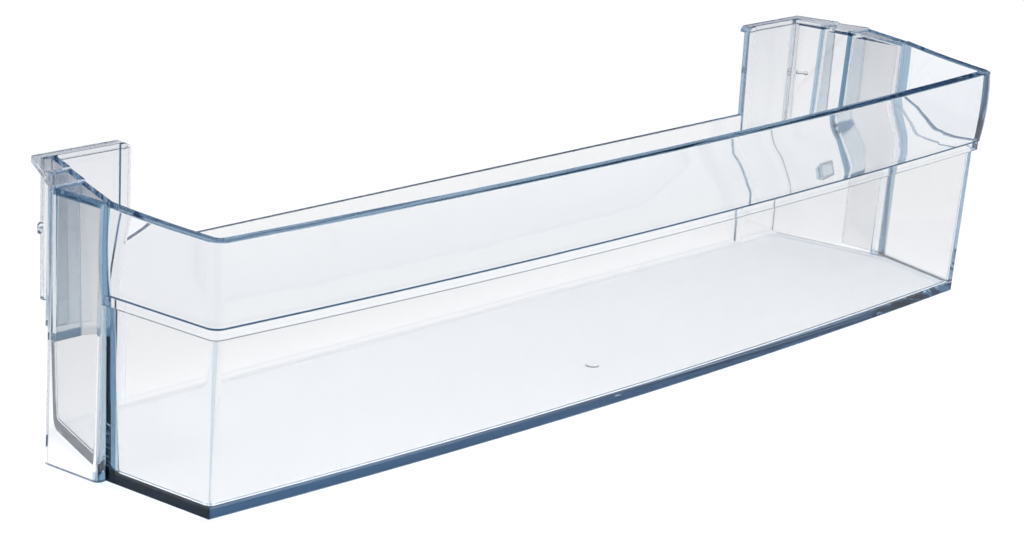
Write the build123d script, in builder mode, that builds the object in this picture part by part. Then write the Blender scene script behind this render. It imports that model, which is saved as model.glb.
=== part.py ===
"""Fridge door shelf: one clear injection moulding that hangs between the ribs of a fridge door.

Millimetres, +Z up, +X along the shelf, -Y towards the room. It is drawn with the tray's sharp front
corners on y = 0, and moved at the end so that the origin is the middle of its underside.
"""
import os
from math import cos, radians, sin, tan

from build123d import *

# Tray, measured at its base
front_width = 430.0
front_bow = 7.0
front_corner = 0.6
side_splay = 8.7
side_length = 48.0
tail_run = 5.4
tuck_angle = 15.5
tuck_draft = 2.4
tray_depth = 98.2
wall = 2.2
floor_wall = 3.9
draft_angle = 1.3
inner_round = 3.0
floor_fillet = 2.0
base_round = 0.6
back_round = 4.5

# Heights above the base
rim_height = 101.5
rim_rise = 1.5
ear_rise = 1.2
back_height = 64.0
back_top_round = 0.9

# Lens-shaped band round the top of the front and the sides, with a plain lip below its crown
band_height = 35.2
crown_height = 31.2
crown_step = 0.4
band_proud = 2.8
band_crown = 1.2
band_round = 0.35
rim_round = 0.5

# Hollow box at each end, open below, that drops over a lug of the door
box_length = 25.4
box_reach = 3.6
box_wall = 2.4
box_round = 2.6

# Ribs and stepped roof between the box and the end flange
rib_wall = 2.2
rib_spacing = 13.0
rib_foot = 46.5
rear_rib_reach = 11.1
roof_wall = 2.6
roof_reach = 9.5

# Tall end flanges of the back wall
flange_width = 30.7
flange_reach = 7.1
flange_foot = 51.0
flange_round = 2.5
bead_width = 4.5
bead_proud = 1.0
lip_reach = 2.3
catch_height = 78.5
catch_radius = 1.5
pin_radius = 0.7
pin_length = 5.5
pin_turn = 45.0
pin_head = 1.1

# Gate mark of the moulding on the tray floor
gate_y = 22.0
gate_radius = 2.6
gate_rise = 0.4

# Places worked out from the sizes above
half_front = front_width / 2
splay = radians(side_splay)
lean = radians(draft_angle)
tail_height = rim_height + rim_rise
ear_height = tail_height + ear_rise
side_turn = side_length - tail_run
turn_x = half_front + side_turn * tan(splay)
tail_x = half_front + side_length * tan(splay)
corner_x = turn_x - (tray_depth - side_turn) * tan(radians(tuck_angle))
band_foot = rim_height - band_height
crown_foot = rim_height - crown_height
back_edge = tray_depth + ear_height * tan(lean) + lip_reach
clear_height = ear_height + 2 * wall
ear_levels = [tail_height, (tail_height + ear_height) / 2, ear_height]
front_rib_y = side_length + box_length * cos(splay) - box_reach * sin(splay) - rib_wall / 2
rear_rib_y = front_rib_y + rib_spacing
roof_ends = [side_length, front_rib_y, rear_rib_y, back_edge]
flange_inner = corner_x - flange_width
flange_outer = corner_x + flange_reach
back_face = Plane(origin=(0, tray_depth, 0), x_dir=(1, 0, 0), z_dir=(0, -cos(lean), sin(lean)))


def tuck_x(y):
    """Half-width of the tucked-in end wall's outer face at the base, at depth y."""
    return turn_x - (y - side_turn) * tan(radians(tuck_angle))


def tuck_core(y):
    """A point in the thickness of the tucked-in end wall, at depth y."""
    return (tuck_x(y) - wall / 2, y)


def box_point(out, back):
    """Plan point beside the end of the right side wall: out from its face, and back along it."""
    return (
        tail_x + out * cos(splay) + back * sin(splay),
        side_length - out * sin(splay) + back * cos(splay),
    )


def box_x(out, y):
    """Half-width, at depth y, of a line parallel to the side wall that lies out from its face."""
    return half_front + y * tan(splay) + out / cos(splay)


def roof_x(y):
    """Half-width of the roof's outer edge at depth y."""
    if y < front_rib_y:
        return box_x(box_reach, y)
    front_x = box_x(box_reach, front_rib_y)
    share = (y - front_rib_y) / (back_edge - front_rib_y)
    return front_x + share * (corner_x + roof_reach - front_x)


def is_tucked(face):
    """Whether an upright face is one of the tucked-in end walls, which face partly backwards."""
    return 0.1 < face.normal_at().Y < 0.9


def draft_walls(block):
    """Lean a block's walls outwards, the tucked-in ends more than the rest."""
    walls = block.faces().filter_by(Axis.Z, reverse=True)
    draft(walls.filter_by(lambda face: not is_tucked(face)), Plane.XY, -draft_angle)
    draft(block.faces().filter_by(is_tucked), Plane.XY, -tuck_draft)


def is_rim_edge(edge):
    """Whether an edge runs along the rim, on top of the front wall or a side wall."""
    box = edge.bounding_box()
    is_long = max(box.size.X, box.size.Y) > 2 * wall
    return is_long and box.min.Z > rim_height - rim_round and box.max.Y < side_turn


# Outer plan of the tray at its base: bowed front, splayed sides, ends tucked in behind them
with BuildSketch() as tray_plan:
    with BuildLine():
        ThreePointArc((-half_front, 0), (0, -front_bow), (half_front, 0))
        right_end = [
            (half_front, 0),
            (tail_x, side_length),
            (tuck_x(side_length), side_length),
            (tuck_x(tray_depth), tray_depth),
        ]
        Polyline(*right_end, *[(-x, y) for x, y in reversed(right_end)])
    make_face()
    fillet(tray_plan.vertices().group_by(Axis.Y)[0], radius=front_corner)

# Inside of the tray, a drafted block that is taken out of the moulding
with BuildPart() as tray_inside:
    with BuildSketch(Plane.XY.offset(floor_wall)) as inside_plan:
        with BuildLine():
            ThreePointArc((-half_front, 0), (0, -front_bow), (half_front, 0))
            inner_end = [(half_front, 0), (turn_x, side_turn), (tuck_x(tray_depth), tray_depth)]
            Polyline(*inner_end, *[(-x, y) for x, y in reversed(inner_end)])
        make_face()
        offset(amount=-wall, kind=Kind.INTERSECTION, mode=Mode.REPLACE)
    extrude(amount=clear_height)
    draft_walls(tray_inside)
    upright = tray_inside.edges().filter_by(lambda edge: edge.bounding_box().size.Z > clear_height / 2)
    fillet(upright, radius=inner_round)
    fillet(tray_inside.faces().sort_by(Axis.Z)[0].edges(), radius=floor_fillet)

# Line that the band follows: right side, front and left side of the base
with BuildLine() as band_path:
    Line((tail_x, side_length), (half_front, 0))
    ThreePointArc((half_front, 0), (0, -front_bow), (-half_front, 0))
    Line((-half_front, 0), (-tail_x, side_length))
    fillet(band_path.vertices().group_by(Axis.Y)[0], radius=front_corner)

# Section of the band at the right end of its line: flat against the wall, crowned outside, with the
# lip set back below the crown
band_start = Plane(
    origin=(tail_x, side_length, 0),
    x_dir=(cos(splay), -sin(splay), 0),
    z_dir=(-sin(splay), -cos(splay), 0),
)
with BuildSketch(band_start) as band_section:
    with BuildLine():
        foot_x = band_foot * tan(lean)
        lip_x = foot_x + band_proud - crown_step
        step_x = crown_foot * tan(lean) + band_proud
        top_x = tail_height * tan(lean)
        crown_middle = ((step_x + top_x + band_proud) / 2 + band_crown, (crown_foot + tail_height) / 2)
        ThreePointArc((step_x, crown_foot), crown_middle, (top_x + band_proud, tail_height))
        Polyline(
            (top_x + band_proud, tail_height),
            (top_x - wall / 2, tail_height),
            (foot_x - wall / 2, band_foot),
            (lip_x, band_foot),
            (lip_x, crown_foot),
            (step_x, crown_foot),
        )
    make_face()
    step_corners = band_section.vertices().group_by(Axis.Y)
    fillet([row.sort_by(Axis.X)[-1] for row in step_corners[:2]], radius=band_round)

with BuildPart() as moulding:
    # Tray block with every wall drafted outwards, and its band
    extrude(tray_plan.sketch, amount=ear_height)
    draft_walls(moulding)
    base_edges = moulding.faces().sort_by(Axis.Z)[0].edges().sort_by(Axis.Y)
    fillet(base_edges[-1], radius=back_round)
    base_edges = moulding.faces().sort_by(Axis.Z)[0].edges().sort_by(Axis.Y)
    fillet(base_edges[:-1], radius=base_round)
    sweep(band_section.sketch, path=band_path.wire())

    # Box walls: a return at the end of the side wall, then the outer wall
    with BuildSketch() as box_plan:
        with BuildLine():
            Polyline(
                tuck_core(side_length),
                box_point(box_reach, 0),
                box_point(box_reach, box_length),
                box_point(box_reach - box_wall, box_length),
                box_point(box_reach - box_wall, box_wall),
                tuck_core(side_length + box_wall),
                close=True,
            )
        make_face()
        fillet(box_plan.vertices().sort_by(Axis.Y)[0], radius=box_round)
        mirror(about=Plane.YZ)
    extrude(amount=tail_height)

    # Two upright ribs across the channels behind the box
    rib_reaches = [
        (front_rib_y, box_x(box_reach - box_wall / 2, front_rib_y)),
        (rear_rib_y, tuck_x(rear_rib_y) + rear_rib_reach),
    ]
    with BuildSketch(Plane.XY.offset(rib_foot)):
        for rib_y, reach in rib_reaches:
            inner_x = tuck_core(rib_y)[0]
            with Locations(((inner_x + reach) / 2, rib_y)):
                Rectangle(reach - inner_x, rib_wall)
        mirror(about=Plane.YZ)
    extrude(amount=tail_height - rib_foot)

    # Roof over the box and the channels, one step higher at each rib
    for level, near, far in zip(ear_levels, roof_ends, roof_ends[1:]):
        with BuildSketch(Plane.XY.offset(level - roof_wall)):
            with BuildLine():
                outer_edge = [(roof_x(near), near), (roof_x(far), far)]
                Polyline(tuck_core(near), *outer_edge, tuck_core(far), close=True)
            make_face()
            mirror(about=Plane.YZ)
        extrude(amount=roof_wall)

    # Lip behind the top of each flange
    with BuildSketch(Plane.XY.offset(ear_height - roof_wall)):
        with BuildLine():
            lip_front = back_edge - lip_reach - wall / 2
            Polyline(
                (flange_inner, lip_front),
                (tuck_x(back_edge), lip_front),
                (tuck_x(back_edge), back_edge),
                (flange_inner, back_edge),
                close=True,
            )
        make_face()
        mirror(about=Plane.YZ)
    extrude(amount=roof_wall)

    # End flanges carried out past the tucked-in walls, in the plane of the back wall
    with BuildSketch(back_face):
        with BuildLine():
            Polyline(
                (tuck_core(tray_depth)[0], flange_foot),
                (flange_outer, flange_foot),
                (flange_outer, ear_height),
                (tuck_core(tray_depth)[0], ear_height),
                close=True,
            )
        make_face()
        with Locations((flange_outer, catch_height)):
            Circle(catch_radius)
        mirror(about=Plane.YZ)
    extrude(amount=wall)

    # Pin with a round head, which stands forward and outward from each catch
    catch_y = back_face.from_local_coords((flange_outer, catch_height, wall / 2)).Y
    for side in (1, -1):
        pin_way = (side * sin(radians(pin_turn)), -cos(radians(pin_turn)), 0)
        pin_axis = Plane(origin=(side * flange_outer, catch_y, catch_height), z_dir=pin_way)
        with BuildSketch(pin_axis):
            Circle(pin_radius)
        extrude(amount=pin_length)
        with Locations(pin_axis.offset(pin_length)):
            Sphere(pin_head)

    add(tray_inside.part, mode=Mode.SUBTRACT)

    # Bead up the inner edge of each flange
    with BuildSketch(back_face.offset(wall / 2)):
        with Locations((flange_inner + bead_width / 2, (floor_wall + ear_height) / 2)):
            Rectangle(bead_width, ear_height)
        mirror(about=Plane.YZ)
    extrude(amount=wall / 2 + bead_proud)

    # Gate mark
    with BuildSketch(Plane.XY.offset(floor_wall / 2)):
        with Locations((0, gate_y)):
            Circle(gate_radius)
    extrude(amount=floor_wall / 2 + gate_rise)

    # Tops: the rim, then one step up at each rib, and the low back wall between the flanges
    with BuildSketch(Plane.YZ):
        with BuildLine():
            Line((-tray_depth, rim_height), (2 * wall, rim_height))
            TangentArc((2 * wall, rim_height), (side_length, tail_height), tangent=(1, 0))
            Polyline(
                (side_length, tail_height),
                (front_rib_y, tail_height),
                (front_rib_y, ear_levels[1]),
                (rear_rib_y, ear_levels[1]),
                (rear_rib_y, ear_levels[2]),
                (2 * tray_depth, ear_levels[2]),
                (2 * tray_depth, 2 * ear_height),
                (-tray_depth, 2 * ear_height),
                (-tray_depth, rim_height),
            )
        make_face()
    extrude(amount=front_width, both=True, mode=Mode.SUBTRACT)
    with BuildSketch(Plane.XZ.offset(-side_length)):
        with Locations((0, back_height + ear_height / 2)):
            Rectangle(2 * flange_inner, ear_height)
    extrude(amount=-2 * tray_depth, mode=Mode.SUBTRACT)

    # Rounded top of the low back wall
    back_tops = moulding.edges().filter_by(Axis.X)
    back_tops = back_tops.filter_by_position(Axis.Z, back_height - wall / 9, back_height + wall / 9)
    fillet(back_tops.sort_by(Axis.Y)[-2:], radius=back_top_round)

    # Rounded corner at the inner top of each flange
    flange_tops = moulding.edges().filter_by(Axis.Y)
    flange_tops = flange_tops.filter_by_position(Axis.Z, ear_height - wall, ear_height + wall)
    fillet(flange_tops.sort_by(lambda edge: abs(edge.center().X))[:2], radius=flange_round)

    # Softened edges along both sides of the rim
    fillet(moulding.edges().filter_by(is_rim_edge), radius=rim_round)

# The same moulding with the origin in the middle of its underside
with BuildPart() as door_shelf:
    with Locations((0, -moulding.part.bounding_box().center().Y, 0)):
        add(moulding.part)

door_shelf.part.label = "door_shelf"
os.makedirs("parts", exist_ok=True)
export_step(door_shelf.part, "parts/door_shelf.step")
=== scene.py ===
import math

import bmesh
import bpy
import numpy as np
from mathutils import Matrix


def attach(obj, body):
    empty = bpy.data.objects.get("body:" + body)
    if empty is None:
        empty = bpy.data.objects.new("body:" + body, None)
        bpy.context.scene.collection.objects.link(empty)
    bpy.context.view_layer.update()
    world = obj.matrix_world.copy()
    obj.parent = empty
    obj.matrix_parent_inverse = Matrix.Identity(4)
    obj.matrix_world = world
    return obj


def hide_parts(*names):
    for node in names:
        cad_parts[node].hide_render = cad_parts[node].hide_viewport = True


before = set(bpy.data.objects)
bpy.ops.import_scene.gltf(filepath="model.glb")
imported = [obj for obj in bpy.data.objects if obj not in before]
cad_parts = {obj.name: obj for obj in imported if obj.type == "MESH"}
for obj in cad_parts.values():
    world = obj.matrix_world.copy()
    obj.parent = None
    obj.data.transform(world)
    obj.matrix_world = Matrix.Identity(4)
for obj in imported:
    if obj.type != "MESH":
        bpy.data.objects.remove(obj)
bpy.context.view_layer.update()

# Shelf moulding: one injection moulding in clear, faintly blue polystyrene, polished all over.
# The tray, its crowned band, the hollow ends, the ribs and the flanges are all one skin, so it is
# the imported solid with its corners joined, flat walls kept flat and rounded ones shaded smooth.
JOIN_STEP = 1e-6
SMOOTH_ANGLE = math.radians(24)
LARGE_FACES_LEAD = 100


def read(items, field, width=3, kind=np.float32):
    """One field of all the items, as an array with a row of the given width for each item."""
    values = np.empty(len(items) * width, kind)
    items.foreach_get(field, values)
    return values.reshape(-1, width)


def joined_copy(node, name):
    """The node's triangles with corners that share a place made one point: places are rounded to a
    grid of JOIN_STEP, and each triangle takes the number of its corners' distinct grid places."""
    places = read(node.data.vertices, "co")
    corners = read(node.data.loops, "vertex_index", 1, np.int32).ravel()
    grid = np.round(places.astype(float) / JOIN_STEP).astype(np.int64)
    _, first, number = np.unique(grid, axis=0, return_index=True, return_inverse=True)
    triangles = number.reshape(-1)[corners].reshape(-1, 3)
    sound = (triangles != np.roll(triangles, 1, axis=1)).all(axis=1)
    mesh = bpy.data.meshes.new(name)
    mesh.from_pydata(places[first].tolist(), [], triangles[sound].tolist())
    mesh.update()
    piece = bpy.data.objects.new(name, mesh)
    bpy.context.scene.collection.objects.link(piece)
    return piece


shelf = joined_copy(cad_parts["door_shelf"], "shelf_moulding")
shelf.data.polygons.foreach_set("use_smooth", np.ones(len(shelf.data.polygons), bool))
shelf.data.set_sharp_from_angle(angle=SMOOTH_ANGLE)

# The shading normals, led by the large faces, are kept on the corners as "way", because the cuts
# further down would bend them, and with them the lines that are seen through the band
even = shelf.modifiers.new("flat_walls", "WEIGHTED_NORMAL")
even.mode = "FACE_AREA_WITH_ANGLE"
even.weight = LARGE_FACES_LEAD
even.keep_sharp = True
evened = shelf.evaluated_get(bpy.context.evaluated_depsgraph_get()).to_mesh()
ways = read(evened.corner_normals, "vector")
shelf.modifiers.remove(even)
shelf.data.attributes.new("way", "FLOAT_VECTOR", "CORNER").data.foreach_set("vector", ways.ravel())

# Painted shade on each face: light that enters an edge, or the strip where one wall stands on another, runs
# a long way inside the plastic before it leaves, and edges show the dim room, so those strips are painted
# steel blue in the colour. The painted tone is Beer's law, the clear tone times exp(-rate x path), with a
# painted length of that path for each strip.
CLEAR_TONE = np.array([0.918, 0.911, 0.905])
# Painted light: the band, the side band and the roof are painted lighter than the clear tone
BAND_PAINTED_LIGHT = np.array([0.99, 0.985, 0.98])
SIDE_BAND_PAINTED_LIGHT = np.array([0.955, 0.95, 0.955])
# Painted shade: the ends are painted darker, more at their top than at their foot
END_FOOT_PAINTED_SHADE = np.array([0.895, 0.891, 0.888])
END_TOP_PAINTED_SHADE = np.array([0.80, 0.80, 0.812])
ROOF_PAINTED_LIGHT = np.array([1.0, 0.97, 0.975])
END_FOOT = 0.060
END_TOP = 0.104
PAINTED_SHADE_RATE = np.array([22.0, 15.0, 10.5])

# How squarely a face looks along an axis, as the cosine of the angle between them
CORNER_TURN = 0.3
RIM_TURN = 0.35
MOSTLY = 0.5
FLANGE_TURN = 0.6
ROOF_TURN = 0.8
SQUARELY = 0.9

# Heights above the base
FLOOR_TOP = 0.0039
RIB_FOOT = 0.0465
RIB_END_TOP = 0.0495
BAND_FOOT = 0.0663
CROWN_FOOT = (0.0702, 0.0712)
ROOF_FOOT = 0.0900
RIM_FOOT = 0.1004

# Depths behind the front of the base, which lies BACK_SHIFT in front of the frame's origin
BACK_SHIFT = 0.044935
CORNER_BACK = 0.0012
BAND_TAIL = 0.0430
SIDE_BACK = 0.0480
FLOOR_EDGE_BACK = 0.0500
WALL_END = (0.0470, 0.0512)
ROOF_EDGE = (0.0470, 0.0710)
FRONT_RIB = (0.0704, 0.0726)
REAR_RIB = (0.0834, 0.0856)
RIB_MARGIN = 0.0014
FLANGE_FRONT = 0.0930

# Distances from the middle, alike on the left and the right
FLANGE_START = 0.1750
BEAD = (0.1770, 0.1830)
BEAD_MIDDLE = 0.1800
END_START = 0.2050
SIDE_START = 0.2105


def within(values, span):
    """Which values lie between the two ends of the span."""
    return (values > span[0]) & (values < span[1])


CUT_DISTANCE = 1e-6
cuts = [((0, 0, height), (0, 0, 1))
        for height in (FLOOR_TOP, RIB_FOOT, RIB_END_TOP, BAND_FOOT, CROWN_FOOT[1], RIM_FOOT)]
cuts += [((0, depth - BACK_SHIFT, 0), (0, 1, 0)) for depth in (BAND_TAIL, *FRONT_RIB, *REAR_RIB)]
skin_mesh = bmesh.new()
skin_mesh.from_mesh(shelf.data)
for point, way in cuts:
    everything = skin_mesh.verts[:] + skin_mesh.edges[:] + skin_mesh.faces[:]
    bmesh.ops.bisect_plane(skin_mesh, geom=everything, dist=CUT_DISTANCE, plane_co=point, plane_no=way)
bmesh.ops.triangulate(skin_mesh, faces=[face for face in skin_mesh.faces if len(face.verts) > 3])
skin_mesh.to_mesh(shelf.data)
skin_mesh.free()
ways = read(shelf.data.attributes["way"].data, "vector")
shelf.data.attributes.remove(shelf.data.attributes["way"])
shelf.data.normals_split_custom_set(ways / np.linalg.norm(ways, axis=1, keepdims=True))

across_x, depth_y, height_z = read(shelf.data.polygons, "center", kind=float).T
facing_x, facing_y, facing_z = read(shelf.data.polygons, "normal", kind=float).T
depth_y = depth_y + BACK_SHIFT
half_x = np.abs(across_x)
outward_x = facing_x * np.sign(across_x)
upright = np.abs(facing_z) < MOSTLY
crossways = np.abs(facing_y) > SQUARELY
looks_out = (facing_y < -MOSTLY) | (outward_x > MOSTLY)

in_front = depth_y < SIDE_BACK
in_end = half_x > END_START
at_floor = upright & (height_z < FLOOR_TOP) & (depth_y < FLOOR_EDGE_BACK)
at_wall_end = in_end & (facing_y > SQUARELY) & within(depth_y, WALL_END)
at_ribs = in_end & within(depth_y, (FRONT_RIB[0] - RIB_MARGIN, REAR_RIB[1] + RIB_MARGIN))
at_front_rib = in_end & within(depth_y, (FRONT_RIB[0] - RIB_MARGIN, FRONT_RIB[1] + RIB_MARGIN))
in_tray_end = in_end & upright & (outward_x < -MOSTLY) & (height_z > RIB_FOOT) & ~in_front
in_flange = (half_x > FLANGE_START) & (depth_y > FLANGE_FRONT)

# Each painted shade strip's path in metres and its faces: a later strip takes over from an earlier one
painted_shade_strips = [
    ("rib faces", 0.006, at_ribs & crossways),
    ("front rib end", 0.050, at_front_rib & crossways & (height_z < RIB_END_TOP)),
    ("flange end", 0.018, in_flange & (half_x < BEAD_MIDDLE) & (outward_x < -FLANGE_TURN)),
    ("front corner", 0.012, upright & (half_x > SIDE_START) & (height_z < BAND_FOOT)
     & (depth_y < CORNER_BACK) & (facing_y < -CORNER_TURN) & (outward_x > CORNER_TURN)),
    ("floor edge", 0.044, at_floor),
    ("side floor edge", 0.028, at_floor & (outward_x > MOSTLY)),
    ("rim top", 0.030, in_front & (height_z > RIM_FOOT) & (facing_z > RIM_TURN)),
    ("crown foot", 0.130, in_front & looks_out & within(height_z, CROWN_FOOT)),
    ("wall end", 0.028, at_wall_end),
    ("band end", 0.045, in_end & in_front & upright & (outward_x > MOSTLY) & (depth_y > BAND_TAIL)),
    ("band end face", 0.090, at_wall_end & (height_z > BAND_FOOT)),
    ("roof edge", 0.070, in_end & upright & looks_out & (height_z > RIM_FOOT) & within(depth_y, ROOF_EDGE)),
    ("front rib foot", 0.070, in_tray_end & within(depth_y, FRONT_RIB)),
    ("rear rib foot", 0.030, in_tray_end & within(depth_y, REAR_RIB)),
    ("rib foot", 0.050, at_ribs & (facing_z < -SQUARELY)
     & within(height_z, (RIB_FOOT - RIB_MARGIN, RIB_FOOT + RIB_MARGIN))),
    ("bead side", 0.090, in_flange & within(half_x, BEAD) & (outward_x > SQUARELY)),
]
painted_shade_path = np.zeros(len(half_x))
for _, length, faces in painted_shade_strips:
    painted_shade_path[faces] = length

# Painted light on the band, the side band and the roof, which are lighter than the clear tone
in_band = in_front & (height_z > BAND_FOOT)
in_side_band = in_band & (half_x > SIDE_START) & (np.abs(outward_x) > MOSTLY)
in_roof = (in_end & (np.abs(facing_z) > ROOF_TURN) & (height_z > ROOF_FOOT)
           & within(depth_y, (SIDE_BACK, FLANGE_FRONT)))
in_hanger = (half_x > FLANGE_START) & (depth_y > SIDE_BACK) & ~in_roof
wall_tint_and_painted_light = np.where(in_band[:, None], BAND_PAINTED_LIGHT, CLEAR_TONE)
wall_tint_and_painted_light = np.where(in_side_band[:, None], SIDE_BAND_PAINTED_LIGHT, wall_tint_and_painted_light)
wall_tint_and_painted_light = np.where(in_roof[:, None], ROOF_PAINTED_LIGHT, wall_tint_and_painted_light)

# The ends get painted shade that grows greyer from their foot to their top, corner by corner. The shader
# takes the root of the painted tone at each skin that light passes, so the rate counts twice.
corners = read(shelf.data.loops, "vertex_index", 1, np.int32).ravel()
corner_heights = read(shelf.data.vertices, "co")[corners, 2]
rise = np.clip((corner_heights - END_FOOT) / (END_TOP - END_FOOT), 0, 1)[:, None]
end_painted_shade = END_FOOT_PAINTED_SHADE + rise * (END_TOP_PAINTED_SHADE - END_FOOT_PAINTED_SHADE)
tint_and_painted_light = np.ones((len(corners), 4), np.float32)
tint_and_painted_light[:, :3] = np.where(np.repeat(in_hanger, 3)[:, None], end_painted_shade, np.repeat(wall_tint_and_painted_light, 3, axis=0))
tint_and_painted_light[:, :3] *= np.exp(-2 * PAINTED_SHADE_RATE * np.repeat(painted_shade_path, 3)[:, None])
shelf.data.attributes.new("tint_and_painted_light", "FLOAT_COLOR", "CORNER").data.foreach_set("color", tint_and_painted_light.ravel())

# The plastic: a polished clear skin, blue by what is absorbed inside and by the painted shade in its base
# colour, with faint ripples from the way it flowed into the mould and edges that catch the light as
# slightly rounded ones do
PLASTIC_IOR = 1.58
POLISH = 0.015
BLUE_TINT = (0.08, 0.33, 0.56, 1.0)
TINT_DENSITY = 11.0
FLOW_SCALE = 26.0
FLOW_DETAIL = 2.0
RIPPLE_STRENGTH = 0.002
RIPPLE_HEIGHT = 0.002
EDGE_ROUND = 0.0005
EDGE_SAMPLES = 4

clear_plastic = bpy.data.materials.new("clear_blue_plastic")
clear_plastic.use_nodes = True
nodes = clear_plastic.node_tree.nodes
links = clear_plastic.node_tree.links
skin = nodes["Principled BSDF"]
tint_and_painted_light_node = nodes.new("ShaderNodeAttribute")
tint_and_painted_light_node.attribute_name = "tint_and_painted_light"
# Base colour and reflection tint both take the painted light and shade tone, so the reflections are painted
# too
links.new(tint_and_painted_light_node.outputs["Color"], skin.inputs["Base Color"])
links.new(tint_and_painted_light_node.outputs["Color"], skin.inputs["Specular Tint"])
skin.inputs["Transmission Weight"].default_value = 1.0
skin.inputs["IOR"].default_value = PLASTIC_IOR
skin.inputs["Roughness"].default_value = POLISH
tint = nodes.new("ShaderNodeVolumeAbsorption")
tint.inputs["Color"].default_value = BLUE_TINT
tint.inputs["Density"].default_value = TINT_DENSITY
links.new(tint.outputs["Volume"], nodes["Material Output"].inputs["Volume"])

place = nodes.new("ShaderNodeTexCoord")
flow = nodes.new("ShaderNodeTexNoise")
flow.inputs["Scale"].default_value = FLOW_SCALE
flow.inputs["Detail"].default_value = FLOW_DETAIL
links.new(place.outputs["Object"], flow.inputs["Vector"])
ripple = nodes.new("ShaderNodeBump")
ripple.inputs["Strength"].default_value = RIPPLE_STRENGTH
ripple.inputs["Distance"].default_value = RIPPLE_HEIGHT
links.new(flow.outputs["Fac"], ripple.inputs["Height"])
edges = nodes.new("ShaderNodeBevel")
edges.samples = EDGE_SAMPLES
edges.inputs["Radius"].default_value = EDGE_ROUND
links.new(edges.outputs["Normal"], ripple.inputs["Normal"])
links.new(ripple.outputs["Normal"], skin.inputs["Normal"])

shelf.data.materials.append(clear_plastic)
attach(shelf, "root")
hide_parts("door_shelf")

# Clear walls let nearly all the light through to the card below
shelf.visible_shadow = False

# Light goes back and forth many times between the skins of a clear wall before it leaves an edge
LIGHT_TURNS = 64
GLOSSY_TURNS = 48

light_paths = bpy.context.scene.cycles
light_paths.max_bounces = LIGHT_TURNS
light_paths.transmission_bounces = LIGHT_TURNS
light_paths.glossy_bounces = GLOSSY_TURNS
light_paths.blur_glossy = 0.0

# Floor: a wide sheet of white card that the shelf stands on, which runs out of the picture on every
# side. It lies a hair below the tray's base, so that the two skins don't share a plane.
FLOOR_HALF = 6.0
FLOOR_DROP = 0.0004
CARD_COLOUR = (0.93, 0.93, 0.93, 1.0)
CARD_ROUGHNESS = 0.9

floor_mesh = bpy.data.meshes.new("floor")
across = np.array([-FLOOR_HALF, FLOOR_HALF])
x, y = np.meshgrid(across, across)
sheet = np.stack([x.ravel(), y.ravel(), np.full(x.size, -FLOOR_DROP)], axis=1)
floor_mesh.from_pydata(sheet.tolist(), [], [(0, 1, 3, 2)])
floor = bpy.data.objects.new("floor", floor_mesh)
bpy.context.scene.collection.objects.link(floor)
card = bpy.data.materials.new("white_card")
card.use_nodes = True
paper = card.node_tree.nodes["Principled BSDF"]
paper.inputs["Base Color"].default_value = CARD_COLOUR
paper.inputs["Roughness"].default_value = CARD_ROUGHNESS
floor.data.materials.append(card)

# Studio light: a dim room under one wide, soft overhead canopy. The canopy lights the card evenly,
# and the dim sides are what walls seen edge on and the ends' ribs reflect.
ROOM_COLOUR = (0.04, 0.08, 0.16, 1.0)
CANOPY_COLOUR = (1.52, 1.52, 1.52, 1.0)
CANOPY_FOOT = 0.30
CANOPY_FULL = 0.75
# Sockets of a Mix node that mixes colours
MIX_FACTOR, MIX_FIRST, MIX_SECOND, MIX_RESULT = 0, 6, 7, 2

world = bpy.data.worlds.new("studio")
bpy.context.scene.world = world
world.use_nodes = True
sky = world.node_tree.nodes
aim = sky.new("ShaderNodeTexCoord")
parts = sky.new("ShaderNodeSeparateXYZ")
world.node_tree.links.new(aim.outputs["Generated"], parts.inputs["Vector"])
height = sky.new("ShaderNodeMapRange")
height.interpolation_type = "SMOOTHSTEP"
height.inputs["From Min"].default_value = CANOPY_FOOT
height.inputs["From Max"].default_value = CANOPY_FULL
world.node_tree.links.new(parts.outputs["Z"], height.inputs["Value"])
glow = sky.new("ShaderNodeMix")
glow.data_type = "RGBA"
glow.inputs[MIX_FIRST].default_value = ROOM_COLOUR
glow.inputs[MIX_SECOND].default_value = CANOPY_COLOUR
world.node_tree.links.new(height.outputs["Result"], glow.inputs[MIX_FACTOR])
world.node_tree.links.new(glow.outputs[MIX_RESULT], sky["Background"].inputs["Color"])

# Camera: stands in front of the left end, a little above the rim, turned slightly about its own axis,
# with the long lens that the photograph's nearly parallel edges show.
FRAME_WIDTH = 1024
SENSOR_WIDTH = 36.0
NEAREST = 0.05
FOCAL_PIXELS = 2788.0
AZIMUTH = math.radians(-46.86)
ELEVATION = math.radians(18.26)
ROLL = math.radians(4.22)
DISTANCE = 1.1001
AIM = np.array([-0.0252, 0.000765, 0.0424])
NUDGE = (0.00059, -0.0002)

level = np.array([math.cos(AZIMUTH), math.sin(AZIMUTH), 0.0])
toward = np.array([math.sin(AZIMUTH), -math.cos(AZIMUTH), 0.0])
back = math.cos(ELEVATION) * toward + math.sin(ELEVATION) * np.array([0.0, 0.0, 1.0])
lift = np.cross(back, level)
right = math.cos(ROLL) * level + math.sin(ROLL) * lift
up = -math.sin(ROLL) * level + math.cos(ROLL) * lift
eye = AIM + DISTANCE * back + NUDGE[0] * right + NUDGE[1] * up
lens = bpy.data.cameras.new("camera")
lens.sensor_width = SENSOR_WIDTH
lens.lens = FOCAL_PIXELS / FRAME_WIDTH * SENSOR_WIDTH
lens.clip_start = NEAREST
camera = bpy.data.objects.new("camera", lens)
bpy.context.scene.collection.objects.link(camera)
pose = np.eye(4)
pose[:3, 0], pose[:3, 1], pose[:3, 2], pose[:3, 3] = right, up, back, eye
camera.matrix_world = Matrix(pose.tolist())
bpy.context.scene.camera = camera
bpy.context.scene.view_settings.view_transform = "Standard"
